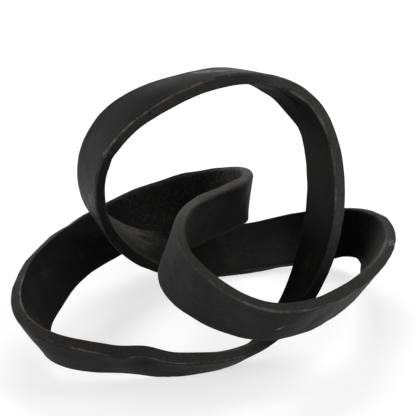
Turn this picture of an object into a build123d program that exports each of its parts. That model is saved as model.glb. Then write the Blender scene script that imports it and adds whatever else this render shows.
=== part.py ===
from build123d import *
import math
import os

# Metal knot sculpture: one closed flat band, cast in lengths that are welded end to end.
# Sizes in millimetres, angles in degrees. The origin is on the ground under the middle.

# Knot
knot_width = 292.0
knot_depth = 242.0
knot_height = 212.0
foot_cut = 2.6

# Band
band_width = 42.0
band_thickness = 9.0
edge_round = 1.2
section_step = 10.0

# Weld groove at each joint: each casting tapers to a land, and two lands meet
groove_reach = 3.0
groove_depth = 2.4
land_round = 0.5

# The path is a closed cubic B-spline. Each pole has its place in thousandths of the knot's width,
# depth and height, then the plan direction and the rise of the band's leading edge.
# After one lap the leading edge comes back upside down, so the band has half a twist and one edge.
path = [
    ("waist", 88, 128, 409, 8, 73),
    ("hairpin", 122, 378, 348, 130, 87),
    ("back turn", -101, 506, 238, 173, 76),
    ("left back run", -259, 369, 195, 153, 64),
    ("left side", -397, 108, 204, 159, 51),
    ("left end", -472, -202, 171, 189, 55),
    ("left front turn", -418, -394, 131, 245, 54),
    ("front foot", -168, -403, 100, 282, 45),
    ("front foot rise", 143, -326, 21, 280, 36),
    ("right leg", 318, -25, 355, 308, 16),
    ("right shoulder", 298, 120, 784, 294, 31),
    ("crown right", 121, 83, 947, 302, 11),
    ("crown left", -20, -20, 972, 280, 16),
    ("left shoulder", -286, -86, 832, 278, -20),
    ("left leg", -328, 53, 390, 304, -17),
    ("back foot fall", -143, 327, 57, 301, -24),
    ("back foot", 168, 444, 71, 291, -44),
    ("right back turn", 427, 447, 154, 281, -72),
    ("right end", 478, 204, 190, 188, -59),
    ("right side", 402, -140, 243, 161, -55),
    ("front run", 249, -396, 258, 135, -52),
    ("front turn", 94, -479, 288, 121, -54),
    ("inner turn", -100, -351, 397, 147, -67),
    ("inner rise", -100, -100, 448, 177, -74),
]

# Castings in order along the path: the weld at the start, the casting, and its share of the lap
castings = [
    ("crown", "left_shoulder", 2.2),
    ("left_leg", "left_leg", 1.3),
    ("back_foot", "back_foot", 1.35),
    ("right_back", "right_back_run", 1.35),
    ("right_end", "right_end", 2.6),
    ("front_run", "front_turn", 2.6),
    ("waist", "waist", 1.9),
    ("hairpin", "left_back_run", 2.5),
    ("left_back", "left_side", 1.7),
    ("left_end", "left_end", 1.65),
    ("front_foot", "front_foot", 1.65),
    ("leg_base", "right_leg", 2.1),
    ("right_shoulder", "right_shoulder", 1.1),
]
first_joint = 11.7


def edge_direction(plan, rise):
    """Unit vector of a leading edge from its plan direction and its rise."""
    level = math.cos(math.radians(rise))
    east = level * math.cos(math.radians(plan))
    north = level * math.sin(math.radians(plan))
    return Vector(east, north, math.sin(math.radians(rise)))


def frame_at(t):
    """Plane across the band at place t: X along the leading edge, Z along the path. Also its speed."""
    whole = math.floor(t)
    f = t - whole
    weights = [(1 - f) ** 3, 3 * f**3 - 6 * f**2 + 4, -3 * f**3 + 3 * f**2 + 3 * f + 1, f**3]
    slopes = [-((1 - f) ** 2), 3 * f**2 - 4 * f, -3 * f**2 + 2 * f + 1, f**2]
    place = Vector(0, 0, 0)
    travel = Vector(0, 0, 0)
    edge = Vector(0, 0, 0)
    for k in range(4):
        lap, pole = divmod(whole - 1 + k, len(path))
        name, x, y, z, plan, rise = path[pole]
        turned = -1 if lap % 2 else 1
        point = Vector(x * knot_width, y * knot_depth, z * knot_height) / 1000
        place += point * (weights[k] / 6)
        travel += point * (slopes[k] / 2)
        edge += edge_direction(plan, rise) * (turned * weights[k] / 6)
    ahead = travel.normalized()
    across = edge - ahead * edge.dot(ahead)
    return Plane(origin=place, x_dir=across, z_dir=ahead), travel.length


def lowest(t):
    """Height of the lowest corner of the band at place t."""
    plane, speed = frame_at(t)
    drop = band_width * abs(plane.x_dir.Z) + band_thickness * abs(plane.y_dir.Z)
    return plane.origin.Z - drop / 2


def section(t, inset=0.0, rounding=edge_round):
    """Rounded cross-section of the band at place t, drawn in all round by the inset."""
    plane, speed = frame_at(t)
    outline = RectangleRounded(band_width - 2 * inset, band_thickness - 2 * inset, rounding)
    return plane * outline


def reach(t, distance):
    """Place that lies the given distance along the path from place t."""
    plane, speed = frame_at(t)
    return t + distance / speed


def skin(sections, ruled=False):
    """Open surface through the outlines of the sections."""
    return Shell.make_loft([piece.wire() for piece in sections], ruled).faces()


def land(joint):
    """Section at a joint, drawn in by the depth of the groove."""
    return section(joint, groove_depth, land_round)


def nose(joint, side):
    """Tapered skin at a casting's end, from the land at the joint to the full section."""
    return skin([land(joint), section(reach(joint, side * groove_reach))], ruled=True)


def casting(start, end):
    """Length of band between two joints, with a tapered nose at each end."""
    first = reach(start, groove_reach)
    last = reach(end, -groove_reach)
    middle, speed = frame_at((start + end) / 2)
    count = max(3, math.ceil((last - first) * speed / section_step))
    run = skin([section(first + (last - first) * i / count) for i in range(count + 1)])
    lands = [land(start).face(), land(end).face()]
    return Solid(Shell(run + nose(start, 1) + nose(end, -1) + lands))


def weld(before, after):
    """Ring of filler, dressed flush, between the end of one casting and the start of the next."""
    rims = [reach(after, -groove_reach), after, reach(after, groove_reach)]
    outside = skin([section(t) for t in rims])
    return Solid(Shell(outside + nose(before, -1) + nose(after, 1)))


# The lower foot is dressed off by the foot cut, so the ground lies that far above the lowest corner
samples = 20
ground = min(lowest(i / samples) for i in range(samples * len(path))) + foot_cut


def stood_on_ground(piece):
    """The piece set down on the ground plane, with anything below it dressed off flat."""
    piece = Pos(0, 0, -ground) * piece
    box = piece.bounding_box()
    if box.min.Z >= 0:
        return piece
    below = Pos(box.center().X, box.center().Y, -band_width / 2)
    return piece - below * Box(2 * box.size.X, 2 * box.size.Y, band_width)


os.makedirs("parts", exist_ok=True)
lap_shares = sum(share for weld_name, casting_name, share in castings)
joints = [first_joint]
for weld_name, casting_name, share in castings:
    joints.append(joints[-1] + share / lap_shares * len(path))

# The lap ends at the first joint, so the first weld lies between the last casting and the first
for i, (weld_name, casting_name, share) in enumerate(castings):
    length = stood_on_ground(casting(joints[i], joints[i + 1]))
    export_step(length.solid(), f"parts/{casting_name}_casting.step")
    filler = stood_on_ground(weld(joints[i] if i else joints[-1], joints[i]))
    export_step(filler.solid(), f"parts/{weld_name}_weld.step")
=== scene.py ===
# %% [markdown]
# # A knot made of one flat metal band
# The sculpture is a cast band that twists, loops through itself and closes on its own end.
# It was cast in short lengths, which were welded end to end, ground flush and blackened.
# The imported CAD model is the fixed frame: it gives every piece its name and its place, in metres.

# %% Load the frame
import math

import bpy
import numpy as np
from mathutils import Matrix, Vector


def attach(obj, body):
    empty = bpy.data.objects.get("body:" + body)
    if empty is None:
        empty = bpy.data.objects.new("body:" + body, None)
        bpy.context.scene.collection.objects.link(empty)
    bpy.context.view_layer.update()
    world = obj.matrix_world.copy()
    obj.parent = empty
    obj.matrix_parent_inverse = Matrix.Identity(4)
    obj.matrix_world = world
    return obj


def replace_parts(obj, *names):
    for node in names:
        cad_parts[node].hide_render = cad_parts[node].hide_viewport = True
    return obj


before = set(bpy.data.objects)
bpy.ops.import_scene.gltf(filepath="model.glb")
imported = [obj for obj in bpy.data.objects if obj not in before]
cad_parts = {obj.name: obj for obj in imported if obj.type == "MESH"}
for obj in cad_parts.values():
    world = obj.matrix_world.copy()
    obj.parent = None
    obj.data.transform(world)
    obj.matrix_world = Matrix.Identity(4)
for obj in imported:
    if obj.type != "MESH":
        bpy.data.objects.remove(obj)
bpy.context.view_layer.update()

print("nodes in the frame:", len(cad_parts))

# %% [markdown]
# ## The path
# The band's middle line is a closed cubic B-spline, and so is the direction of its leading edge.
# A curve object with a bevel could be swept along it, but a curve decides its own twist.
# Here the twist is the design, so the path is worked out with numpy and the twist comes with it.
# Each pole has its place in thousandths of the knot's width, depth and height, and then the plan
# direction and the rise of the leading edge in degrees.

# %% Poles of the path
KNOT_SIZE = np.array([0.292, 0.242, 0.212])
POLES = np.array([
    [88, 128, 409, 8, 73],  # waist
    [122, 378, 348, 130, 87],  # hairpin
    [-101, 506, 238, 173, 76],  # back turn
    [-259, 369, 195, 153, 64],  # left back run
    [-397, 108, 204, 159, 51],  # left side
    [-472, -202, 171, 189, 55],  # left end
    [-418, -394, 131, 245, 54],  # left front turn
    [-168, -403, 100, 282, 45],  # front foot
    [143, -326, 21, 280, 36],  # front foot rise
    [318, -25, 355, 308, 16],  # right leg
    [298, 120, 784, 294, 31],  # right shoulder
    [121, 83, 947, 302, 11],  # crown right
    [-20, -20, 972, 280, 16],  # crown left
    [-286, -86, 832, 278, -20],  # left shoulder
    [-328, 53, 390, 304, -17],  # left leg
    [-143, 327, 57, 301, -24],  # back foot fall
    [168, 444, 71, 291, -44],  # back foot
    [427, 447, 154, 281, -72],  # right back turn
    [478, 204, 190, 188, -59],  # right end
    [402, -140, 243, 161, -55],  # right side
    [249, -396, 258, 135, -52],  # front run
    [94, -479, 288, 121, -54],  # front turn
    [-100, -351, 397, 147, -67],  # inner turn
    [-100, -100, 448, 177, -74],  # inner rise
], float)
POLE_COUNT = len(POLES)
pole_places = POLES[:, :3] * KNOT_SIZE / 1000
plan = np.radians(POLES[:, 3])
rise = np.radians(POLES[:, 4])
pole_edges = np.stack([np.cos(rise) * np.cos(plan), np.cos(rise) * np.sin(plan), np.sin(rise)], 1)
print("poles:", POLE_COUNT)


# %% Frame of the band at any place
def unit(v):
    """Each row of v divided by its length."""
    return v / np.linalg.norm(v, axis=-1, keepdims=True)


def band_frame(t):
    """Middle, across, through, ahead and speed of the band at places t, in pole steps.

    The middle is the sum of four neighbouring poles times the cubic B-spline weights, and ahead is
    the same sum with the weights' slopes. Its length before scaling is the speed, in metres per pole
    step. Across is the sum of the edge directions, with the part along ahead taken out. On every
    second lap the edge directions change sign: the half twist.
    """
    t = np.asarray(t, float)
    whole = np.floor(t).astype(int)
    f = (t - whole)[:, None]
    weights = [(1 - f) ** 3, 3 * f**3 - 6 * f**2 + 4, -3 * f**3 + 3 * f**2 + 3 * f + 1, f**3]
    slopes = [-((1 - f) ** 2), 3 * f**2 - 4 * f, -3 * f**2 + 2 * f + 1, f**2]
    middle, travel, edge = 0, 0, 0
    for k in range(4):
        lap, pole = np.divmod(whole - 1 + k, POLE_COUNT)
        turned = np.where(lap % 2, -1, 1)[:, None]
        middle = middle + pole_places[pole] * weights[k] / 6
        travel = travel + pole_places[pole] * slopes[k] / 2
        edge = edge + pole_edges[pole] * turned * weights[k] / 6
    ahead = unit(travel)
    across = unit(edge - ahead * np.sum(edge * ahead, axis=1, keepdims=True))
    through = np.cross(ahead, across)
    return middle, across, through, ahead, np.linalg.norm(travel, axis=1)


lap_places = np.linspace(0, POLE_COUNT, 6001)
lap_speed = band_frame(lap_places)[4]
lap_steps = (lap_speed[1:] + lap_speed[:-1]) / 2 * np.diff(lap_places)
lap_length = np.concatenate([[0], np.cumsum(lap_steps)])
print(f"length of the band: {lap_length[-1]:.3f} m")


def along_at(t):
    """Length of path from place 0 to places t, in metres."""
    laps, rest = np.divmod(t, POLE_COUNT)
    return laps * lap_length[-1] + np.interp(rest, lap_places, lap_length)


# %% [markdown]
# ## The section
# A cut through the band is a flat bar with rounded corners. A bevel modifier would round all four
# corners alike, but a hand-dressed casting is crisp in one place and soft in the next.
# So the section is a function of a ring position and of four corner radii, and the radii drift
# along the band. Each point is a corner's centre, or a mix of two, plus the radius times an angle.

# %% Ring positions round the section
BAND_WIDTH, BAND_THICKNESS = 0.042, 0.009
FACE_STEPS, RIM_STEPS, CORNER_STEPS = 28, 6, 6


def ring_positions():
    """Start corner, end corner, share between them and outward angle for each point of the ring.

    Corners are numbered 0 to 3 anticlockwise from (+across, +through). A corner is an arc with the
    share at 0, and a straight side has a fixed angle while its share runs from 0 to 1.
    """
    first, second, share, angle = [], [], [], []
    for corner, steps in enumerate([FACE_STEPS, RIM_STEPS, FACE_STEPS, RIM_STEPS]):
        turn = np.linspace(0, 1, CORNER_STEPS, endpoint=False)
        run = np.linspace(0, 1, steps, endpoint=False)
        first.append(np.full(CORNER_STEPS + steps, corner))
        second.append(np.full(CORNER_STEPS + steps, (corner + 1) % 4))
        share.append(np.concatenate([np.zeros(CORNER_STEPS), run]))
        angle.append((corner + np.concatenate([turn, np.ones(steps)])) * math.pi / 2)
    return map(np.concatenate, (first, second, share, angle))


ring_first, ring_second, ring_share, ring_angle = ring_positions()
RING = len(ring_angle)
ring_out = np.stack([np.cos(ring_angle), np.sin(ring_angle)], 1)
CORNER_SIGNS = np.array([[1, 1], [-1, 1], [-1, -1], [1, -1]])
print("points round the section:", RING)


def section_points(radii, inset=0.0):
    """Across and through offsets of the ring for rows of four corner radii, drawn in by an inset."""
    half = np.array([BAND_WIDTH, BAND_THICKNESS]) / 2 - inset
    cores = CORNER_SIGNS * (half - radii[..., None])
    s = ring_share[:, None]
    core = cores[:, ring_first] * (1 - s) + cores[:, ring_second] * s
    radius = radii[:, ring_first] * (1 - ring_share) + radii[:, ring_second] * ring_share
    return core + radius[..., None] * ring_out


def set_out(flat, across, through):
    """Vectors in space for rows of offsets across and through the band."""
    return across[:, None] * flat[..., :1] + through[:, None] * flat[..., 1:]


# %% [markdown]
# ## The hand of the foundry
# Sand moulds and files leave no surface true: faces swell a little, edges wander.
# A displace modifier with a noise texture would do, but its pattern is hard to keep continuous
# where the band meets its own end upside down. Plane waves in space have no such seam: a sum of
# sines of a point's position gives each point the same push, whichever piece it belongs to.

# %% Waves in space
def waves(points, wavelength, seed, count=18):
    """Sum of sines of the position along random directions, scaled to a spread of about 1."""
    rng = np.random.default_rng(seed)
    directions = unit(rng.normal(size=(count, 3)))
    lengths = wavelength * rng.uniform(0.6, 1.6, count)
    phases = rng.uniform(0, 2 * math.pi, count)
    turns = points @ (directions / lengths[:, None]).T * 2 * math.pi
    return np.sin(turns + phases).sum(axis=-1) * math.sqrt(2 / count)


def stretch(t, begin, end, fade=0.12):
    """1 between two places and 0 outside, fading over part of a pole step."""
    return np.clip(np.minimum(t - begin, end - t) / fade + 0.5, 0, 1)


CORNER_RADIUS, RADIUS_WANDER, WANDER_LENGTH = 0.0017, 0.0006, 0.11
LEAST_RADIUS, LARGEST_RADIUS = 0.0009, 0.0036
# from place, to place, corner number, radius mm
SOFTENED = np.array([
    [11.0, 13.4, 0, 2.6],
    [16.6, 19.4, 2, 3.4],
    [22.6, 24.9, 2, 2.8],
    [22.6, 24.9, 1, 2.6],
])


def corner_radii(t, middle, across, through):
    """Radius of each of the four corners: the usual one plus its wander, or as dressed softer.

    Corners are numbered from (+across, +through), and on the second lap each has turned to its opposite.
    """
    reach = CORNER_SIGNS * np.array([BAND_WIDTH, BAND_THICKNESS]) / 2
    corners = middle[:, None] + set_out(reach, across, through)
    radii = CORNER_RADIUS + RADIUS_WANDER * waves(corners, WANDER_LENGTH, 3)
    for begin, end, corner, radius in SOFTENED:
        for lap_shift, here in ((0, int(corner)), (POLE_COUNT, int(corner + 2) % 4)):
            share = stretch(t, begin + lap_shift, end + lap_shift, 0.4)
            radii[:, here] += share * (radius / 1000 - radii[:, here])
    return np.clip(radii, LEAST_RADIUS, LARGEST_RADIUS)


# %% [markdown]
# ## Marks of making
# The photograph shows places where the band isn't true: a ridge inside the arch's shoulder, a scar on
# the front run, a pit and wavy edges on the front foot. A hill or hollow pushes the skin outward or
# inward, and a bend shifts a whole edge through the band. Both fall off as a Gaussian.
# Each has its centre at a place on the band, given by pole steps and by millimetres across and
# through, and is measured in the band's own axes.

# %% Hills, hollows and kinks
# name: place, across mm, through mm, height mm, length mm, breadth mm
HILLS = {
    "front_foot_pit": (7.38, 21.0, 3.2, -0.7, 1.4, 1.2),
    "front_run_scar": (20.485, 1.3, 4.5, 0.35, 3.5, 1.3),
    "front_run_scar_tail": (20.44, -0.2, 4.5, -0.30, 2.5, 1.1),
    "arch_ridge": (10.50, 5.9, -4.5, 0.7, 12.0, 2.0),
    "arch_ridge_low": (10.32, 0.5, -4.5, 0.5, 7.0, 2.0),
    "arch_kink_upper": (10.72, -20.0, -4.0, 0.5, 6.0, 7.0),
    "arch_kink_middle": (10.27, -20.0, -4.0, 1.0, 11.0, 9.0),
    "arch_kink_hollow": (9.98, -20.0, -4.0, -0.8, 10.0, 9.0),
    "lower_bend_ridge": (14.79, -11.2, -4.5, 1.2, 10.0, 1.8),
    "lower_bend_ridge_end": (14.96, -16.0, -4.5, 0.6, 6.0, 2.0),
    "lower_bend_groove": (14.80, -7.5, -4.5, -1.0, 10.0, 1.8),
    "left_leg_notch": (13.095, 21.0, -3.2, -1.0, 6.0, 5.0),
    "left_shoulder_lump": (13.06, 21.0, 4.0, 0.5, 3.0, 2.5),
    "left_side_dot": (3.768, -5.3, -4.5, 0.25, 1.6, 1.6),
    "left_end_dot": (4.447, 3.9, -4.5, -0.4, 1.8, 1.5),
    "right_back_top": (17.12, -20.0, -1.0, -1.2, 16.0, 7.0),
    "right_back_hollow": (17.12, 20.0, -3.0, -2.6, 13.0, 7.0),
    "right_end_swell": (17.88, 20.0, -3.0, 0.8, 14.0, 9.0),
    "back_run_sag": (2.36, -21.0, 0.0, 3.0, 18.0, 9.0),
}
# name: place, across mm, shift through mm, length mm, breadth mm
BENDS = {
    "front_foot_top_dip": (6.73, 20.0, 0.8, 12.0, 12.0),
    "front_foot_top_wave": (6.97, 20.0, -2.0, 12.0, 14.0),
    "front_foot_top_hollow": (7.22, 20.0, 0.9, 14.0, 12.0),
    "front_foot_low_hollow": (6.82, -20.0, -1.5, 14.0, 12.0),
    "front_foot_low_bulge": (7.28, -20.0, 1.3, 16.0, 12.0),
}


def bell(points, place, across, through, length, breadth):
    """1 at a place on the band, falling off as a Gaussian, and the band's through direction there.

    Distance along the band is divided by the length, and distance across it and through it by the
    breadth, so a narrow mark on one face doesn't reach the other.
    """
    middle, side, deep, ahead = [row[0] for row in band_frame([place])[:4]]
    away = (points - middle) * 1000 - side * across - deep * through
    far = (away @ ahead / length) ** 2
    wide = (away @ side / breadth) ** 2 + (away @ deep / breadth) ** 2
    return np.exp(-far - wide), deep


def hills(points):
    """Push of the points outward by all hills and hollows: each height times its bell, in metres."""
    total = np.zeros(len(points))
    for place, across, through, height, length, breadth in HILLS.values():
        total += height / 1000 * bell(points, place, across, through, length, breadth)[0]
    return total


def bends(points):
    """Shift of the points through the band by all bent edges, as vectors in metres."""
    total = np.zeros_like(points)
    for place, across, shift, length, breadth in BENDS.values():
        share, deep = bell(points, place, across, 0, length, breadth)
        total += shift / 1000 * share[:, None] * deep
    return total


print("hills and hollows:", len(HILLS), "bent edges:", len(BENDS))

# %% [markdown]
# ## Carrying the section along the path
# One function gives the finished skin for any list of places. The ring is set out across the band,
# then every point is pushed along its outward direction by the waves and the hills, and bent edges
# shift it through the band. Rims wander more than faces do. Where the band stands, the foot is
# dressed flat on the ground.

# %% Skin of the band
RIM_FROM, BEND_STEP, BEND_SPAN = 0.2, 0.002, 16.0
# height m, wavelength m, seed
FACE_WAVES = [(0.00016, 0.050, 11), (0.00005, 0.013, 12)]
RIM_WAVES = [(0.00028, 0.060, 13), (0.00014, 0.020, 14)]
GROOVE_DEPTH, LAND_RADIUS = 0.0024, 0.0005
rim_share = np.clip((np.abs(ring_out[:, 0]) - RIM_FROM) / (1 - RIM_FROM), 0, 1)


def inside_share(t):
    """1 on the hollow side of a bend and 0 on its outer side: the face's direction against the bend's.

    The bend is the change of the ahead direction over two steps of path, per metre. The share goes from 0
    to 1 over the span of bends, and a rim lies halfway. The finish uses it to darken the hollow side:
    painted shade.
    """
    here = band_frame(t)
    step = BEND_STEP / here[4]
    bend = (band_frame(t + step)[3] - band_frame(t - step)[3]) / (2 * BEND_STEP)
    hollow = np.sum(here[2] * bend, axis=1)[:, None] * ring_out[:, 1]
    return np.clip(0.5 + hollow / BEND_SPAN, 0, 1)


def unevenness(points, table):
    """Sum of waves, each with its own height, wavelength and seed."""
    return sum(height * waves(points, wavelength, seed) for height, wavelength, seed in table)


def band_skin(t):
    """Grid of surface points, one ring per place t, with the casting's unevenness."""
    middle, across, through = band_frame(t)[:3]
    flat = section_points(corner_radii(t, middle, across, through))
    points = (middle[:, None] + set_out(flat, across, through)).reshape(-1, 3)
    out = set_out(ring_out, across, through).reshape(-1, 3)
    rim_push = np.tile(rim_share, len(t)) * unevenness(points, RIM_WAVES)
    push = unevenness(points, FACE_WAVES) + rim_push + hills(points)
    points = points + out * push[:, None] + bends(points)
    points[:, 2] = np.maximum(points[:, 2], 0)
    return points.reshape(len(t), RING, 3)


def land_ring(joint):
    """Ring of the small land in the weld groove at a joint: the section drawn in by the groove's depth."""
    middle, across, through = band_frame([joint])[:3]
    flat = section_points(np.full((1, 4), LAND_RADIUS), GROOVE_DEPTH)
    ring = middle[:, None] + set_out(flat, across, through)
    ring[..., 2] = np.maximum(ring[..., 2], 0)
    return ring


def ring_quads(rows, closed=False):
    """Four corners of each face between neighbouring rings, and from the last ring to the first."""
    row = np.arange(rows if closed else rows - 1)[:, None]
    col = np.arange(RING)[None, :]
    right = (col + 1) % RING
    below = (row + 1) % rows
    corners = [row * RING + col, row * RING + right, below * RING + right, below * RING + col]
    return np.stack(corners, -1).reshape(-1, 4)


# %% [markdown]
# ## From arrays to pieces
# Every piece carries values at its points: how much of it is rim, how near it is to a corner, whether it
# lies in a hollow, where the finish paints shade, whether it shines, as worn metal and painted highlight,
# how much painted light and shade and how thick a coat it carries, how sandy its skin is, and its place
# along, across and through the band. The finishes read them, so wear, grinding and the painted light and
# shade follow the metal instead of the room.

# %% Corners that shine: worn bright and partly painted highlight
# from place, to place, corner number, strength
POLISHED_AND_HIGHLIT = np.array([
    [11.9, 13.10, 0, 0.8],
    [6.25, 6.70, 0, 0.7],
    [6.80, 7.42, 0, 0.8],
    [4.70, 5.55, 3, 0.75],
    [19.6, 21.2, 1, 0.7],
    [21.9, 22.3, 1, 0.6],
    [9.9, 10.7, 3, 0.75],
    [13.5, 13.9, 0, 0.5],
    [17.9, 18.6, 1, 0.25],
])
corner_share = np.where(ring_share == 0, np.abs(np.sin(2 * ring_angle)), 0)


def polish_and_highlight_share(t):
    """Strength of the shining corners between two places."""
    total = np.zeros((len(t), RING))
    for begin, end, corner, strength in POLISHED_AND_HIGHLIT:
        for lap_shift, here in ((0, corner), (POLE_COUNT, (corner + 2) % 4)):
            lit = stretch(t, begin + lap_shift, end + lap_shift)[:, None]
            total = np.maximum(total, strength * lit * (ring_first == here) * corner_share)
    return total


# %% Painted light and shade with thick and thin coats, smooth and sandy skin
# Side 0 is the rim at +across, 1 the face at +through, 2 the rim at -across, 3 the face at -through.
# Half is 1 or -1 for the half of a face at +across or -across, and 0 for all of it.
# from place, to place, side, half, stops lighter
# Each stretch is lighter or darker by its stops: painted light and shade on the band, partly a thicker or
# thinner coat.
PAINTED_LIGHT_AND_COATS = np.array([
    [0.3, 1.3, 3, 0, 2.1],
    [1.4, 2.9, 3, 0, 0.6],
    [1.3, 3.2, 0, 0, -1.8],
    [2.0, 3.3, 3, -1, 1.0],
    [2.9, 3.4, 3, 1, -0.4],
    [3.3, 5.2, 3, 1, 0.35],
    [5.9, 6.9, 0, 0, -0.35],
    [5.6, 8.2, 1, 0, -0.3],
    [7.0, 8.2, 0, 0, 0.35],
    [7.1, 8.2, 1, 0, -0.6],
    [7.6, 8.9, 3, 0, -1.4],
    [8.0, 8.9, 0, 0, -1.4],
    [8.5, 9.4, 1, 0, -3.0],
    [8.9, 11.2, 0, 0, 0.8],
    [9.2, 9.9, 3, 0, 1.0],
    [8.4, 9.2, 3, -1, -0.4],
    [10.3, 11.2, 3, 1, -0.8],
    [10.6, 11.3, 3, -1, 0.8],
    [11.6, 12.6, 1, 1, -1.2],
    [13.1, 15.6, 0, 0, -0.9],
    [13.6, 15.0, 3, -1, 2.2],
    [13.4, 14.4, 3, 1, 2.0],
    [14.7, 15.4, 3, -1, 0.6],
    [15.8, 16.5, 3, 1, 0.8],
    [16.4, 17.8, 3, 0, -1.7],
    [17.5, 18.8, 3, -1, 1.2],
    [20.8, 22.7, 1, 0, 0.4],
    [22.3, 22.7, 1, 0, 0.7],
    [18.9, 22.4, 2, 0, 0.3],
    [22.4, 24.9, 2, 0, 0.9],
    [23.5, 24.3, 3, 0, -0.45],
    [23.0, 24.3, 3, 1, -0.4],
    [23.0, 24.4, 0, 0, -1.2],
])
# from place, to place, side, half, sandiness
SANDY = np.array([
    [0.2, 3.4, 3, 0, 1.0],
    [0.2, 1.4, 0, 0, 0.8],
    [13.4, 15.2, 3, 0, 0.6],
    [16.4, 18.8, 3, 0, 0.9],
    [17.3, 18.8, 3, 0, 0.9],
    [22.6, 24.9, 2, 0, 1.0],
])
on_face = np.abs(ring_out[:, 0]) < 0.01
face_half = np.sign(ring_out[:, 1]) * (1 - 2 * ring_share)
ring_half = np.where(on_face, face_half, np.sign(ring_out[:, 0]))


def side_share(t, table):
    """Sum of a table's strengths at each point: full between two places, by how far it faces that side.

    On the second lap the band lies upside down, so side and half both change to their opposites.
    """
    total = np.zeros((len(t), RING))
    for begin, end, side, half, strength in table:
        for lap_shift, here, turned in ((0, side, half), (POLE_COUNT, side + 2, -half)):
            facing = np.maximum(np.cos(ring_angle - here * math.pi / 2), 0) ** 2
            facing = facing * (np.clip(0.5 + turned * ring_half, 0, 1) if half else 1)
            total += strength * stretch(t, begin + lap_shift, end + lap_shift, 0.5)[:, None] * facing
    return total


print("stretches with their own blacking:", len(PAINTED_LIGHT_AND_COATS), "sandy ones:", len(SANDY))


# %% Mesh helper
def make_piece(name, rows, faces, places):
    """Mesh object from rings of points, with the values that its finish reads."""
    mesh = bpy.data.meshes.new(name)
    mesh.from_pydata(rows.reshape(-1, 3).tolist(), [], faces)
    mesh.update()
    mesh.shade_smooth()
    mesh.set_sharp_from_angle(angle=math.radians(30))
    count = len(rows)
    band = np.empty((count, RING, 3), np.float32)
    band[..., 0] = along_at(places)[:, None]
    band[..., 1] = np.where(on_face, face_half, ring_out[:, 0]) * BAND_WIDTH / 2
    band[..., 2] = ring_out[:, 1] * BAND_THICKNESS / 2
    values = {
        "rim": np.tile(rim_share, count),
        "corner": np.tile(corner_share, count),
        "inside": inside_share(places).ravel(),
        "polish_and_highlight": polish_and_highlight_share(places).ravel(),
        "painted_light_and_coat": side_share(places, PAINTED_LIGHT_AND_COATS).ravel(),
        "sand": side_share(places, SANDY).ravel(),
    }
    for key, value in values.items():
        layer = mesh.attributes.new(key, "FLOAT", "POINT")
        layer.data.foreach_set("value", value.astype(np.float32))
    layer = mesh.attributes.new("band", "FLOAT_VECTOR", "POINT")
    layer.data.foreach_set("vector", band.ravel())
    piece = bpy.data.objects.new(name, mesh)
    bpy.context.scene.collection.objects.link(piece)
    return piece


# %% [markdown]
# ## Castings
# Thirteen bent strips follow each other round the lap. Each runs from weld to weld, and at both
# ends it tapers over 3 mm to a land, as a plate is ground back before it is welded.
# The list repeats the frame's names and shares of the lap, starting at the crown.

# %% Joints round the lap
CASTINGS = [
    ("crown", "left_shoulder", 2.2),
    ("left_leg", "left_leg", 1.3),
    ("back_foot", "back_foot", 1.35),
    ("right_back", "right_back_run", 1.35),
    ("right_end", "right_end", 2.6),
    ("front_run", "front_turn", 2.6),
    ("waist", "waist", 1.9),
    ("hairpin", "left_back_run", 2.5),
    ("left_back", "left_side", 1.7),
    ("left_end", "left_end", 1.65),
    ("front_foot", "front_foot", 1.65),
    ("leg_base", "right_leg", 2.1),
    ("right_shoulder", "right_shoulder", 1.1),
]
FIRST_JOINT, GROOVE_REACH, RING_STEP = 11.7, 0.003, 0.0011
shares = np.array([row[2] for row in CASTINGS])
joints = FIRST_JOINT + np.concatenate([[0], np.cumsum(shares)]) / shares.sum() * POLE_COUNT
groove = GROOVE_REACH / band_frame(joints)[4]
print("joints in pole steps:", np.round(joints, 2).tolist())

# %% Strips between the welds
castings = {}
for i, (weld_name, casting_name, share) in enumerate(CASTINGS):
    first = joints[i] + groove[i]
    last = joints[i + 1] - groove[i + 1]
    count = math.ceil((along_at(last) - along_at(first)) / RING_STEP) + 1
    places = np.linspace(first, last, count)
    rows = np.concatenate([land_ring(joints[i]), band_skin(places), land_ring(joints[i + 1])])
    faces = ring_quads(len(rows)).tolist()
    faces += [list(range(RING))[::-1], list(range((len(rows) - 1) * RING, len(rows) * RING))]
    all_places = np.concatenate([[joints[i]], places, [joints[i + 1]]])
    castings[casting_name] = make_piece(casting_name + "_cast", rows, faces, all_places)
print("castings:", len(castings), "faces:", sum(len(p.data.polygons) for p in castings.values()))

# %% [markdown]
# ## Welds
# The filler fills the groove all round, so each weld is a closed ring: its outside continues the
# band's skin and its inside goes down one groove wall to the land and up the other.
# It was ground flush, but a grinder leaves a slight crown with shallow ripples.

# %% Rings of filler
WELD_RINGS, BEAD_HEIGHT, RIPPLE_LENGTH = 13, 0.00003, 0.006


def weld_rows(joint, reach, seed):
    """Rings from one edge of the groove to the other, lifted by a low arch with ripples, and the land."""
    across_weld = np.linspace(-1, 1, WELD_RINGS)
    places = joint + across_weld * reach
    skin = band_skin(places)
    out = unit(skin - band_frame(places)[0][:, None])
    arch = (1 - across_weld**2) ** 2
    ripple = 1 + 0.5 * waves(skin.reshape(-1, 3), RIPPLE_LENGTH, seed).reshape(len(places), RING)
    skin = skin + out * (BEAD_HEIGHT * arch[:, None] * ripple)[..., None]
    skin[..., 2] = np.maximum(skin[..., 2], 0)
    return np.concatenate([skin, land_ring(joint)]), np.append(places, joint)


welds = {}
for i, (weld_name, casting_name, share) in enumerate(CASTINGS):
    rows, places = weld_rows(joints[i], groove[i], 40 + i)
    faces = ring_quads(len(rows), closed=True).tolist()
    welds[weld_name] = make_piece(weld_name + "_filler", rows, faces, places)
print("welds:", len(welds))
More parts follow.
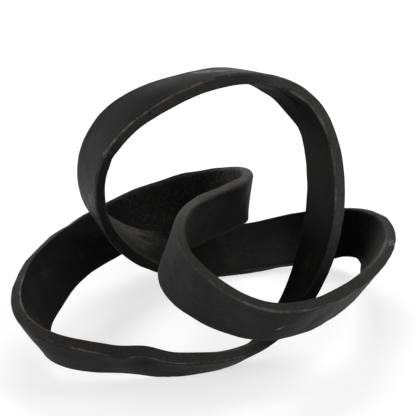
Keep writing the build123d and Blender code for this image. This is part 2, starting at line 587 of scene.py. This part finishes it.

# %% [markdown]
# ## Shared effects
# The black is a thin finish over grey metal, so several effects show on every piece: the grain of the sand
# mould, pits, wear on rims and corners, patches that were rubbed, and a little settled dust that lightens
# upward faces, partly painted light from above.
# Each is a node group with its own sockets, and the materials give it their own values.

# %% Node helpers
def new_group(name, inputs, outputs):
    """Empty shader node group with named sockets, and its input and output nodes."""
    tree = bpy.data.node_groups.new(name, "ShaderNodeTree")
    for label, kind, value in inputs:
        socket = tree.interface.new_socket(name=label, in_out="INPUT", socket_type=kind)
        socket.default_value = value
    for label, kind in outputs:
        tree.interface.new_socket(name=label, in_out="OUTPUT", socket_type=kind)
    return tree, tree.nodes.new("NodeGroupInput").outputs, tree.nodes.new("NodeGroupOutput").inputs


def put(tree, node, settings=None, **values):
    """New node in a tree. A socket in values is linked, and a plain value is set on the input.

    A key is the input's label, with _ for a space, or i and its number.
    """
    made = tree.nodes.new(node)
    for key, value in (settings or {}).items():
        setattr(made, key, value)
    for key, value in values.items():
        place = int(key[1:]) if key[0] == "i" and key[1:].isdigit() else key.replace("_", " ")
        if isinstance(value, bpy.types.NodeSocket):
            tree.links.new(value, made.inputs[place])
        else:
            made.inputs[place].default_value = value
    return made


def numbered(values):
    """Values by the number of their input, as put takes them."""
    return {f"i{k}": value for k, value in enumerate(values)}


def calc(tree, operation, *values):
    """Output of a Math node on the given sockets and numbers."""
    return put(tree, "ShaderNodeMath", {"operation": operation}, **numbered(values)).outputs[0]


def square(tree, value):
    """A value times itself."""
    return calc(tree, "MULTIPLY", value, value)


def vector(tree, operation, *values):
    """Vector that a Vector Math node makes of the given sockets and vectors."""
    return put(tree, "ShaderNodeVectorMath", {"operation": operation}, **numbered(values)).outputs["Vector"]


def measure(tree, operation, *values):
    """Number that a Vector Math node makes of them, such as a length or a dot product."""
    return put(tree, "ShaderNodeVectorMath", {"operation": operation}, **numbered(values)).outputs["Value"]


def noise(tree, place, scale, detail=3.0, roughness=0.55):
    """Output of a noise texture of about one cycle per 1/scale metres."""
    made = put(tree, "ShaderNodeTexNoise", Vector=place, Scale=scale, Detail=detail, Roughness=roughness)
    return made.outputs[0]


def ramp(tree, value, low, high, low_out=0.0, high_out=1.0):
    """Smooth step of a value from one level to another."""
    settings = {"interpolation_type": "SMOOTHSTEP"}
    made = put(tree, "ShaderNodeMapRange", settings, i0=value, i1=low, i2=high, i3=low_out, i4=high_out)
    return made.outputs[0]


def mix(tree, share, first, second):
    """Colour output of a mix from the first colour to the second."""
    made = put(tree, "ShaderNodeMix", {"data_type": "RGBA"}, i0=share, i6=first, i7=second)
    return made.outputs[2]


# %% Grain of the sand mould
grain, g_in, g_out = new_group(
    "mould_grain",
    [("Place", "NodeSocketVector", (0, 0, 0)), ("Coarse", "NodeSocketFloat", 0.5)],
    [("Height", "NodeSocketFloat"), ("Speckle", "NodeSocketFloat"), ("Cloud", "NodeSocketFloat")],
)
fine = noise(grain, g_in["Place"], 1500.0, 2.0)
sandy = noise(grain, g_in["Place"], 400.0, 5.0, 0.70)
lumps = noise(grain, g_in["Place"], 150.0, 3.0)
rough = calc(grain, "MULTIPLY", calc(grain, "MULTIPLY_ADD", fine, 0.5, sandy), g_in["Coarse"])
grain.links.new(calc(grain, "ADD", rough, lumps), g_out["Height"])
grain.links.new(ramp(grain, sandy, 0.40, 0.72), g_out["Speckle"])
grain.links.new(ramp(grain, noise(grain, g_in["Place"], 32.0, 4.0, 0.6), 0.35, 0.65), g_out["Cloud"])
print("group:", grain.name)

# %% Pits and specks
pits, p_in, p_out = new_group(
    "casting_pits",
    [("Place", "NodeSocketVector", (0, 0, 0))],
    [("Pit", "NodeSocketFloat"), ("Speck", "NodeSocketFloat")],
)


def spots(tree, place, scale, share, size):
    """Round spots about scattered points: a share of the points have one, of random size."""
    cells = put(tree, "ShaderNodeTexVoronoi", Vector=place, Scale=scale).outputs
    chance = put(tree, "ShaderNodeSeparateColor", i0=cells["Color"]).outputs[0]
    size = ramp(tree, chance, 1.0 - share, 1.0, 0.0, size)
    return ramp(tree, cells["Distance"], size, calc(tree, "MULTIPLY", size, 0.4))


pits.links.new(spots(pits, p_in["Place"], 170.0, 0.5, 0.26), p_out["Pit"])
pits.links.new(spots(pits, p_in["Place"], 260.0, 0.3, 0.24), p_out["Speck"])
print("group:", pits.name)

# %% Wear on rims and corners
wear, w_in, w_out = new_group(
    "edge_wear",
    [("Place", "NodeSocketVector", (0, 0, 0)), ("Rim", "NodeSocketFloat", 0.0),
     ("Corner", "NodeSocketFloat", 0.0), ("Break", "NodeSocketFloat", 60.0)],
    [("Rim Wear", "NodeSocketFloat"), ("Corner Wear", "NodeSocketFloat")],
)
patches = ramp(wear, noise(wear, w_in["Place"], w_in["Break"], 4.0, 0.6), 0.40, 0.66)
scratchy = ramp(wear, noise(wear, w_in["Place"], 420.0, 3.0, 0.7), 0.35, 0.65)
sandy_rim = calc(wear, "MULTIPLY_ADD", scratchy, 0.35, 0.5)
wear.links.new(calc(wear, "MULTIPLY", w_in["Rim"], sandy_rim), w_out["Rim Wear"])
broken = calc(wear, "MULTIPLY", patches, calc(wear, "MULTIPLY_ADD", scratchy, 0.7, 0.3))
sharp_corner = ramp(wear, w_in["Corner"], 0.35, 0.95)
wear.links.new(calc(wear, "MULTIPLY", sharp_corner, broken), w_out["Corner Wear"])
print("group:", wear.name)

# %% Rubbed patch at a place
PATCH_DEPTH, PATCH_END = 0.003, 0.004
rubbed, r_in, r_out = new_group(
    "rubbed_patch",
    [("Place", "NodeSocketVector", (0, 0, 0)), ("Centre", "NodeSocketVector", (0, 0, 0)),
     ("Along", "NodeSocketVector", (1, 0, 0)), ("Across", "NodeSocketVector", (0, 1, 0)),
     ("Length", "NodeSocketFloat", 0.01), ("Breadth", "NodeSocketFloat", 0.004),
     ("Streak", "NodeSocketFloat", 400.0)],
    [("Mask", "NodeSocketFloat")],
)
away = vector(rubbed, "SUBTRACT", r_in["Place"], r_in["Centre"])
run = measure(rubbed, "DOT_PRODUCT", away, r_in["Along"])
side = measure(rubbed, "DOT_PRODUCT", away, r_in["Across"])
far = square(rubbed, calc(rubbed, "DIVIDE", run, r_in["Length"]))
wide = square(rubbed, calc(rubbed, "DIVIDE", side, r_in["Breadth"]))
inside = ramp(rubbed, calc(rubbed, "ADD", far, wide), 1.0, 0.15)
flat = calc(rubbed, "ADD", square(rubbed, run), square(rubbed, side))
depth = calc(rubbed, "SUBTRACT", square(rubbed, measure(rubbed, "LENGTH", away)), flat)
this_face = ramp(rubbed, depth, PATCH_END**2, PATCH_DEPTH**2)
lengthwise = calc(rubbed, "MULTIPLY", run, 0.25)
lines = put(rubbed, "ShaderNodeCombineXYZ", i0=lengthwise, i1=side, i2=0.0).outputs[0]
streaks = ramp(rubbed, noise(rubbed, lines, r_in["Streak"], 5.0, 0.75), 0.44, 0.64)
mask = calc(rubbed, "MULTIPLY", calc(rubbed, "MULTIPLY", inside, this_face), streaks)
rubbed.links.new(mask, r_out["Mask"])
print("group:", rubbed.name)

# %% Settled dust and painted top light
dust, d_in, d_out = new_group(
    "settled_dust_and_top_light",
    [("Place", "NodeSocketVector", (0, 0, 0)), ("Normal", "NodeSocketVector", (0, 0, 1))],
    [("Mask", "NodeSocketFloat")],
)
# Upward faces turn lighter: partly settled dust, partly painted light from above.
upward = put(dust, "ShaderNodeSeparateXYZ", i0=d_in["Normal"]).outputs[2]
cloudy = ramp(dust, noise(dust, d_in["Place"], 85.0, 5.0, 0.65), 0.38, 0.68)
dust.links.new(calc(dust, "MULTIPLY", ramp(dust, upward, 0.55, 1.0), cloudy), d_out["Mask"])
print("group:", dust.name)

# %% [markdown]
# ## The black finish
# Cast metal, blackened and waxed: a charcoal body with cloudy variation, rims rubbed to a warm grey and
# bright broken lines on the corners, partly worn metal and partly painted highlight. The hollow side of
# each bend is darkened as painted shade, and listed stretches carry painted light and shade. The welds have
# the same finish over ground metal, so their material differs only in its values. Where the photograph
# shows a rubbed place, a patch is laid there, in the axes of the band at that place.

# %% Rubbed places
# name: place, across mm, through mm, length mm, breadth mm, streak, strength, turn in degrees, brownness
RUBS = {
    "crown_patch": (11.72, -5.0, 4.5, 18.0, 7.5, 480.0, 0.85, -38.0, 0.2),
    "crown_patch_right": (11.42, 3.0, 4.5, 14.0, 5.0, 480.0, 0.6, -15.0, 0.2),
    "left_leg_scratch": (13.71, 7.5, 4.5, 6.0, 1.5, 600.0, 1.0, 35.0, 0.0),
    "left_leg_scratch_low": (13.62, 13.0, 4.5, 4.0, 1.2, 600.0, 0.8, 60.0, 0.0),
    "front_run_scar": (20.485, 1.3, 4.5, 5.0, 2.2, 520.0, 0.75, 40.0, 0.0),
    "right_end_specks": (18.40, -21.0, 0.5, 10.0, 4.0, 800.0, 0.6, 0.0, 0.0),
    "left_shoulder_dots": (13.07, 20.0, 4.5, 4.0, 3.0, 900.0, 0.5, 0.0, 0.0),
    "left_side_dots": (3.77, -5.3, -4.5, 5.0, 5.0, 900.0, 0.10, 0.0, 0.2),
    "left_end_dots": (4.42, 5.0, -4.5, 8.0, 5.0, 900.0, 0.10, 0.0, 0.2),
    "right_side_rub": (19.70, -15.0, 4.5, 24.0, 7.0, 260.0, 0.18, 0.0, 0.5),
    "waist_rim": (22.95, -21.0, 0.0, 34.0, 7.0, 420.0, 0.14, 0.0, 0.6),
    "hairpin_rim": (23.95, -21.0, 0.0, 30.0, 7.0, 420.0, 0.18, 0.0, 0.7),
    "hairpin_back_rim": (24.55, -21.0, 0.0, 24.0, 7.0, 420.0, 0.18, 0.0, 0.7),
    "lower_bend_brown": (14.62, -8.0, -4.5, 26.0, 17.0, 420.0, 0.30, 70.0, 1.0),
    "leg_base_brown": (8.75, 4.0, -4.5, 18.0, 14.0, 110.0, 0.04, 0.0, 1.0),
}
ON_RIM = 20.5


def rub_axes(at, across, through, turn):
    """Centre of a rubbed place and its two directions, turned in the surface of the face or the rim."""
    middle, wide, deep, ahead = [row[0] for row in band_frame([at])[:4]]
    centre = middle + (wide * across + deep * through) / 1000
    side = deep if abs(across) > ON_RIM else wide
    angle = math.radians(turn)
    along = ahead * math.cos(angle) + side * math.sin(angle)
    beside = side * math.cos(angle) - ahead * math.sin(angle)
    return centre.tolist(), along.tolist(), beside.tolist()


print("rubbed places:", len(RUBS))

# %% Colours of the finish
SOOT = (0.006, 0.006, 0.006, 1)
DARK_CLOUD = (0.007, 0.007, 0.007, 1)
SAND_GREY = (0.022, 0.0210, 0.0195, 1)
RIM_COOL = (0.030, 0.0297, 0.0293, 1)
RIM_WARM = (0.038, 0.0358, 0.0328, 1)
DUST_AND_TOP_LIGHT_GREY = (0.075, 0.068, 0.058, 1)
PIT_BLACK = (0.004, 0.004, 0.004, 1)
SPECK_GREY = (0.080, 0.077, 0.073, 1)
BROWN = (0.175, 0.146, 0.110, 1)
BARE_METAL = (0.280, 0.274, 0.262, 1)
# How far a pattern is squeezed along, across and through the band
DRAWN = (0.30, 1.0, 1.0)
DASHED = (1.0, 0.2, 0.2)
SCORED = (1.0, 0.08, 0.08)
POINT_VALUES = ["rim", "corner", "inside", "polish_and_highlight", "painted_light_and_coat", "sand"]
print("values that the finish reads:", POINT_VALUES)


# %% Layers of the finish
def attribute(tree, name, output="Fac"):
    """Value that the mesh carries at its points under a name."""
    return put(tree, "ShaderNodeAttribute", {"attribute_name": name}).outputs[output]


def effect(tree, group, **values):
    """Outputs of a shared effect, laid into a material with its own values."""
    return put(tree, "ShaderNodeGroup", {"node_tree": group}, **values).outputs


def tint(tree, colour, toward, mask, amount):
    """Colour drawn toward another by an amount where the mask is 1."""
    return mix(tree, calc(tree, "MULTIPLY", mask, amount), colour, toward)


def pattern(tree, band, squeeze, scale, detail, roughness):
    """Noise in the band's own axes, squeezed so that it runs out into lines."""
    return noise(tree, vector(tree, "MULTIPLY", band, squeeze), scale, detail, roughness)


def blacking_and_painted_light(tree, colour, at, grained, pitted, worn, dust_and_top_light):
    """Colour of the black finish: lines, clouds, sand, grey rims, dust with painted top light, pits and
    specks, scaled by each stretch's painted light and shade.
    """
    drawn = ramp(tree, pattern(tree, at["band"], DRAWN, 300.0, 4.0, 0.6), 0.32, 0.68)
    colour = tint(tree, colour, SOOT, drawn, 0.30)
    colour = tint(tree, colour, DARK_CLOUD, grained["Cloud"], 0.35)
    sandiness = calc(tree, "MULTIPLY_ADD", at["sand"], 0.40, 0.12)
    colour = tint(tree, colour, SAND_GREY, grained["Speckle"], sandiness)
    colour = mix(tree, worn["Rim Wear"], colour, mix(tree, grained["Cloud"], RIM_COOL, RIM_WARM))
    colour = tint(tree, colour, DUST_AND_TOP_LIGHT_GREY, dust_and_top_light["Mask"], 0.10)
    colour = tint(tree, colour, PIT_BLACK, pitted["Pit"], 0.7)
    colour = tint(tree, colour, SPECK_GREY, pitted["Speck"], 0.22)
    uneven = calc(tree, "MULTIPLY_ADD", at["sand"], 0.25, 0.18)
    mottle = calc(tree, "MULTIPLY_ADD", grained["Speckle"], uneven, 0.88)
    # The stops of each stretch scale the colour here: painted light and shade, partly a thicker or thinner
    # coat.
    strength = calc(tree, "MULTIPLY", at["thinness"], mottle)
    return put(tree, "ShaderNodeVectorMath", {"operation": "SCALE"}, i0=colour, Scale=strength).outputs[0]


def bared(tree, place, at, worn, ground):
    """Share of the surface that is bright, and share that is bare metal: corners, rubs and ground welds."""
    broken = ramp(tree, pattern(tree, at["band"], DASHED, 170.0, 5.0, 0.7), 0.30, 0.74)
    # Bright corners, both the listed ones and the worn ones, are partly bare metal and partly painted
    # highlight.
    shine_and_highlight = calc(tree, "MULTIPLY", ramp(tree, at["polish_and_highlight"], 0.30, 0.95), 0.60)
    corners = calc(tree, "MULTIPLY", worn["Corner Wear"], 0.25)
    bright = calc(tree, "MAXIMUM", corners, calc(tree, "MULTIPLY", shine_and_highlight, broken))
    bright = calc(tree, "MULTIPLY", bright, at["clear"])
    metal = bright
    for spot, across, through, length, breadth, streak, strength, turn, brownness in RUBS.values():
        centre, along, beside = rub_axes(spot, across, through, turn)
        patch = effect(tree, rubbed, Place=place, Centre=centre, Along=along, Across=beside,
                       Length=length / 1000, Breadth=breadth / 1000, Streak=streak)
        strong = calc(tree, "MULTIPLY", patch["Mask"], strength)
        bright = calc(tree, "MAXIMUM", bright, strong)
        metal = calc(tree, "MAXIMUM", metal, calc(tree, "MULTIPLY", strong, 1 - brownness))
    if ground:
        strokes = ramp(tree, pattern(tree, at["band"], SCORED, 1300.0, 2.0, 0.55), 0.55, 0.75)
        bright = calc(tree, "MAXIMUM", bright, calc(tree, "MULTIPLY", strokes, ground))
    return bright, metal


# %% Finish of the band
def black_finish(name, outer, hollow_shade_colour, coarse, rough, gloss, bump, ground):
    """Principled material: charcoal body, painted shade on the hollow side of bends, grey rims, bright
    corners that are partly painted highlight, rubbed places, dust with painted top light, and grain.

    Each stop of painted light and shade doubles the colour's strength, and where it darkens, it also dulls
    the shine, so the shade is painted on the reflection too.
    """
    material = bpy.data.materials.new(name)
    material.use_nodes = True
    tree = material.node_tree
    shader = tree.nodes["Principled BSDF"].inputs
    place = tree.nodes.new("ShaderNodeTexCoord").outputs["Object"]
    normal = tree.nodes.new("ShaderNodeNewGeometry").outputs["Normal"]
    at = {key: attribute(tree, key) for key in POINT_VALUES}
    at["band"] = attribute(tree, "band", "Vector")
    # Where the stops darken, the corners' brightness and the reflection are held back as well: painted
    # shade on them too.
    at["thinness"] = calc(tree, "POWER", 2.0, at["painted_light_and_coat"])
    at["clear"] = calc(tree, "MINIMUM", at["thinness"], 1.0)
    grained = effect(tree, grain, Place=place, Coarse=coarse)
    pitted = effect(tree, pits, Place=place)
    worn = effect(tree, wear, Place=place, Rim=at["rim"], Corner=at["corner"], Break=26.0)
    dust_and_top_light = effect(tree, dust, Place=place, Normal=normal)

    # The hollow side of each bend takes the darker colour: painted shade.
    charcoal = mix(tree, at["inside"], outer, hollow_shade_colour)
    charcoal = blacking_and_painted_light(tree, charcoal, at, grained, pitted, worn, dust_and_top_light)
    bright, metal = bared(tree, place, at, worn, ground)
    purity = calc(tree, "DIVIDE", metal, calc(tree, "MAXIMUM", bright, 0.001))
    colour = mix(tree, bright, charcoal, mix(tree, purity, BROWN, BARE_METAL))
    tree.links.new(colour, shader["Base Color"])

    dull = calc(tree, "MULTIPLY_ADD", grained["Speckle"], 0.12, rough)
    dull = calc(tree, "MULTIPLY_ADD", at["inside"], 0.10, dull)
    dull = calc(tree, "MULTIPLY_ADD", worn["Rim Wear"], 0.08, dull)
    tree.links.new(calc(tree, "MULTIPLY_ADD", metal, -0.18, dull), shader["Roughness"])
    tree.links.new(calc(tree, "MULTIPLY", metal, 0.5), shader["Metallic"])
    tree.links.new(calc(tree, "MULTIPLY", at["clear"], gloss), shader["Specular IOR Level"])

    height = calc(tree, "MULTIPLY_ADD", worn["Rim Wear"], 0.6, grained["Height"])
    height = calc(tree, "MULTIPLY_ADD", pitted["Speck"], 0.5, height)
    height = calc(tree, "MULTIPLY_ADD", pitted["Pit"], -0.8, height)
    sandy = calc(tree, "MAXIMUM", at["sand"], calc(tree, "MULTIPLY", at["rim"], 0.5))
    sandy = calc(tree, "MULTIPLY_ADD", sandy, bump * 0.7, bump * 0.3)
    bumps = put(tree, "ShaderNodeBump", Strength=sandy, Distance=0.0005, Height=height)
    tree.links.new(bumps.outputs["Normal"], shader["Normal"])
    return material


OUTER_CHARCOAL = (0.026, 0.0258, 0.0254, 1)
casting_black = black_finish(
    "blackened_casting", outer=OUTER_CHARCOAL, hollow_shade_colour=(0.0080, 0.0079, 0.0076, 1),
    coarse=0.45, rough=0.46, gloss=0.025, bump=0.70, ground=0.0,
)
weld_black = black_finish(
    "blackened_weld", outer=OUTER_CHARCOAL, hollow_shade_colour=(0.0082, 0.0081, 0.0078, 1),
    coarse=0.40, rough=0.45, gloss=0.025, bump=0.65, ground=0.02,
)
print("finishes:", casting_black.name, weld_black.name)

# %% [markdown]
# ## Setting the pieces on the frame
# Each piece stands for one CAD node, takes the casting or weld finish and rides on the only body.

# %% Ride and replace
for name, piece in castings.items():
    piece.data.materials.append(casting_black)
    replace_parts(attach(piece, "root"), name + "_casting")
for name, piece in welds.items():
    piece.data.materials.append(weld_black)
    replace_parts(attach(piece, "root"), name + "_weld")
print("pieces on the frame:", len(castings) + len(welds))

# %% [markdown]
# ## Floor and light
# The photograph has a plain white ground. The floor is matt white and lit at a plain level; to the
# camera most of its white is its own glow, so it reads white and still keeps the soft shadow.
# Further out the glow takes over, so the floor runs into the white of the room without a horizon.
# Two large soft lamps stand in front, one hangs behind and above, and two more fill the sides, as in
# a product studio. The room adds a weak even light.

# %% White floor
FLOOR_HALF, GLOW_FROM, GLOW_FULL = 6.0, 0.3, 1.2
WHITE = (1, 1, 1, 1)


def seen_rays(tree):
    """1 for rays that show a surface, also in a mirror or through glass, and 0 for rays of light."""
    rays = tree.nodes.new("ShaderNodeLightPath").outputs
    mirrored = calc(tree, "MAXIMUM", rays["Is Glossy Ray"], rays["Is Transmission Ray"])
    return calc(tree, "MAXIMUM", rays["Is Camera Ray"], mirrored)


floor_mesh = bpy.data.meshes.new("floor")
floor_corners = [(-1, -1), (1, -1), (1, 1), (-1, 1)]
floor_mesh.from_pydata([(x * FLOOR_HALF, y * FLOOR_HALF, 0) for x, y in floor_corners], [], [(0, 1, 2, 3)])
floor = bpy.data.objects.new("floor", floor_mesh)
bpy.context.scene.collection.objects.link(floor)
floor_white = bpy.data.materials.new("floor_white")
floor_white.use_nodes = True
tree = floor_white.node_tree
tree.nodes.clear()
reach = measure(tree, "LENGTH", tree.nodes.new("ShaderNodeTexCoord").outputs["Object"])
glow_level = ramp(tree, reach, GLOW_FROM, GLOW_FULL, 0.64, 1.0)
matt_level = ramp(tree, reach, GLOW_FROM, GLOW_FULL, 0.5, 0.0)
glow = put(tree, "ShaderNodeEmission", Color=WHITE, Strength=glow_level).outputs[0]
matt = put(tree, "ShaderNodeBsdfDiffuse", Color=matt_level).outputs[0]
lit = put(tree, "ShaderNodeBsdfDiffuse", Color=(0.40, 0.40, 0.40, 1)).outputs[0]
shown = put(tree, "ShaderNodeAddShader", i0=glow, i1=matt).outputs[0]
both = put(tree, "ShaderNodeMixShader", i0=seen_rays(tree), i1=lit, i2=shown).outputs[0]
put(tree, "ShaderNodeOutputMaterial", Surface=both)
floor_mesh.materials.append(floor_white)
print("floor:", floor_white.name)

# %% Room
world = bpy.data.worlds.new("studio")
bpy.context.scene.world = world
world.use_nodes = True
tree = world.node_tree
tree.nodes.clear()
room = put(tree, "ShaderNodeBackground", Color=WHITE, Strength=0.06).outputs[0]
white = put(tree, "ShaderNodeBackground", Color=WHITE, Strength=1.0).outputs[0]
both = put(tree, "ShaderNodeMixShader", i0=seen_rays(tree), i1=room, i2=white).outputs[0]
put(tree, "ShaderNodeOutputWorld", Surface=both)
print("room:", world.name)

# %% Lamps
# name: place in metres, power in watts
LAMPS = {
    "back_lamp": ((0.0, 1.2, 1.2), 15),
    "front_left_lamp": ((-1.1, -1.2, 0.6), 17),
    "front_right_lamp": ((1.1, -1.2, 0.6), 7),
    "right_lamp": ((1.0, 0.0, 1.2), 7),
    "left_lamp": ((-1.3, 0.4, 0.65), 4),
}
LAMP_AIM, LAMP_SIZE = (0, 0, 0.08), 0.9
for name, (place, power) in LAMPS.items():
    light = bpy.data.lights.new(name, "AREA")
    light.size = LAMP_SIZE
    light.energy = power
    lamp = bpy.data.objects.new(name, light)
    lamp.location = place
    toward = Vector(LAMP_AIM) - Vector(place)
    lamp.rotation_euler = toward.to_track_quat("-Z", "Y").to_euler()
    bpy.context.scene.collection.objects.link(lamp)
print("lamps:", len(LAMPS))

# %% [markdown]
# ## Camera
# The photograph looks down by about 25 degrees from straight in front, through a long lens.
# The distance and the angle were found together with the path, so the loops overlap as they should.

# %% Camera
AIM = np.array([-0.0004, 0.0029, 0.0976])
DISTANCE, LOOK_DOWN, HALF_VIEW, SENSOR = 1.361, 24.92, 6.58, 36.0
down = math.radians(LOOK_DOWN)
lens = bpy.data.cameras.new("photo_camera")
lens.sensor_fit = "HORIZONTAL"
lens.sensor_width = SENSOR
lens.lens = SENSOR / 2 / math.tan(math.radians(HALF_VIEW))
camera = bpy.data.objects.new("photo_camera", lens)
camera.location = (AIM + DISTANCE * np.array([0, -math.cos(down), math.sin(down)])).tolist()
camera.rotation_euler = (math.radians(90) - down, 0, 0)
bpy.context.scene.collection.objects.link(camera)
bpy.context.scene.camera = camera
bpy.context.scene.view_settings.view_transform = "Standard"
print(f"lens: {lens.lens:.1f} mm")

# %% [markdown]
# ## Bringing the scene up to date

# %% Update the view layer
bpy.context.view_layer.update()
